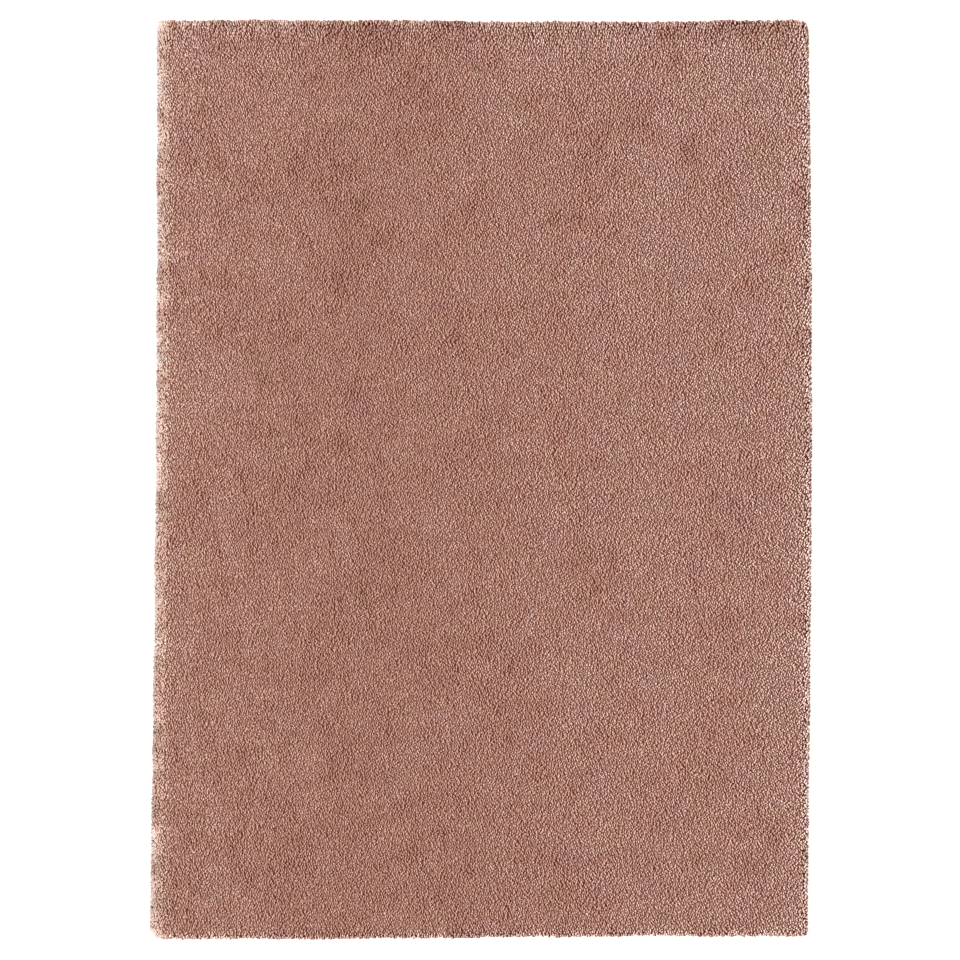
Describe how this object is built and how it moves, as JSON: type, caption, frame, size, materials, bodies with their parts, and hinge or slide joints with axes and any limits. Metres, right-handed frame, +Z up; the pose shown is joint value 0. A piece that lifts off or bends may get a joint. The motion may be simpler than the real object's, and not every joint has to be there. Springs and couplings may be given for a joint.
{
  "type": "low pile rug",
  "caption": "Rectangular cut-pile rug in one dusty rose brown colour, lying flat, with slightly uneven pile edges and softly rounded corners.",
  "frame": {"origin": "middle of the underside, on the surface that the rug lies on", "axes": "+X across the width, +Y along the length to the head end, +Z up out of the pile"},
  "size_m": [1.7354, 2.4142, 0.018],
  "materials": {
    "pile": "matt dusty rose brown cut pile"
  },
  "bodies": {
    "root": {"rug": "pile"}
  },
  "joints": []
}
